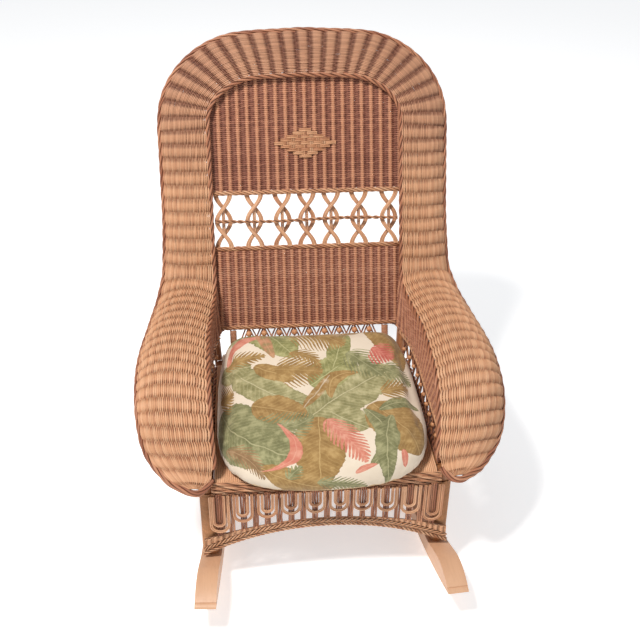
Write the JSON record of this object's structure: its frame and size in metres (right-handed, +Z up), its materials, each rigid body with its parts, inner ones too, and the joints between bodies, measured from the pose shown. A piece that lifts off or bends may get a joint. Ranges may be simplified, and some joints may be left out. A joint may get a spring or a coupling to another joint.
{
  "type": "rocking chair",
  "caption": "Wicker rocking chair with a rolled band over arms and arched back, openwork lattice, looped apron, wood rockers and a loose printed seat cushion.",
  "frame": {"origin": "on the floor under the middle of the chair, on its plane of symmetry", "axes": "+Z up, the sitter faces -Y, and +X is on the sitter's left hand"},
  "size_m": [0.8016, 0.9029, 1.0024],
  "materials": {
    "rocker_wood": "satin, blond bent hardwood",
    "frame_wood": "satin, stained hardwood and rattan pole",
    "board_wood": "raw plywood",
    "bead_wood": "satin, turned wood",
    "reed": "satin, natural round reed",
    "panel_reed": "satin, stained fine reed",
    "screw_steel": "zinc plated",
    "foam": "soft upholstery foam",
    "print_fabric": "smooth printed cotton"
  },
  "bodies": {
    "chair": {"left_rocker": "rocker_wood", "right_rocker": "rocker_wood", "rocker_screws": "screw_steel", "left_front_leg": "frame_wood", "right_front_leg": "frame_wood", "left_rear_leg": "frame_wood", "right_rear_leg": "frame_wood", "left_front_leg_wrap": "reed", "right_front_leg_wrap": "reed", "left_rear_leg_wrap": "reed", "right_rear_leg_wrap": "reed", "left_side_stretcher": "frame_wood", "right_side_stretcher": "frame_wood", "seat_front_rail": "frame_wood", "seat_rear_rail": "frame_wood", "left_seat_rail": "frame_wood", "right_seat_rail": "frame_wood", "seat_deck": "reed", "seat_front_braid": "reed", "left_seat_braid": "reed", "right_seat_braid": "reed", "left_back_post": "frame_wood", "right_back_post": "frame_wood", "left_arm_post": "frame_wood", "right_arm_post": "frame_wood", "inner_hoop": "frame_wood", "outer_hoop": "reed", "rolled_band": "reed", "inner_border_braid": "reed", "outer_border_braid": "reed", "back_upper_panel": "panel_reed", "diamond_motif": "reed", "upper_panel_braid": "reed", "lattice_reeds": "reed", "lattice_twist": "reed", "lower_panel_top_braid": "reed", "back_lower_panel": "panel_reed", "lower_panel_bottom_braid": "reed", "back_gallery_reeds": "reed", "back_gallery_beads": "bead_wood", "left_arm_panel": "panel_reed", "right_arm_panel": "panel_reed", "left_arm_panel_braid": "reed", "right_arm_panel_braid": "reed", "arm_gallery_reeds": "reed", "arm_gallery_beads": "bead_wood", "front_apron_stakes": "reed", "front_apron_loops": "reed", "front_apron_braid": "reed", "left_apron": "reed", "right_apron": "reed", "rear_apron": "reed"},
    "cushion": {"cushion_board": "board_wood", "cushion_foam": "foam", "cushion_cover": "print_fabric"}
  },
  "joints": [
    {"name": "cushion_lift", "type": "slide", "parent": "chair", "child": "cushion", "axis": [0, 0, 1], "range_m": [0, 0.25]}
  ]
}
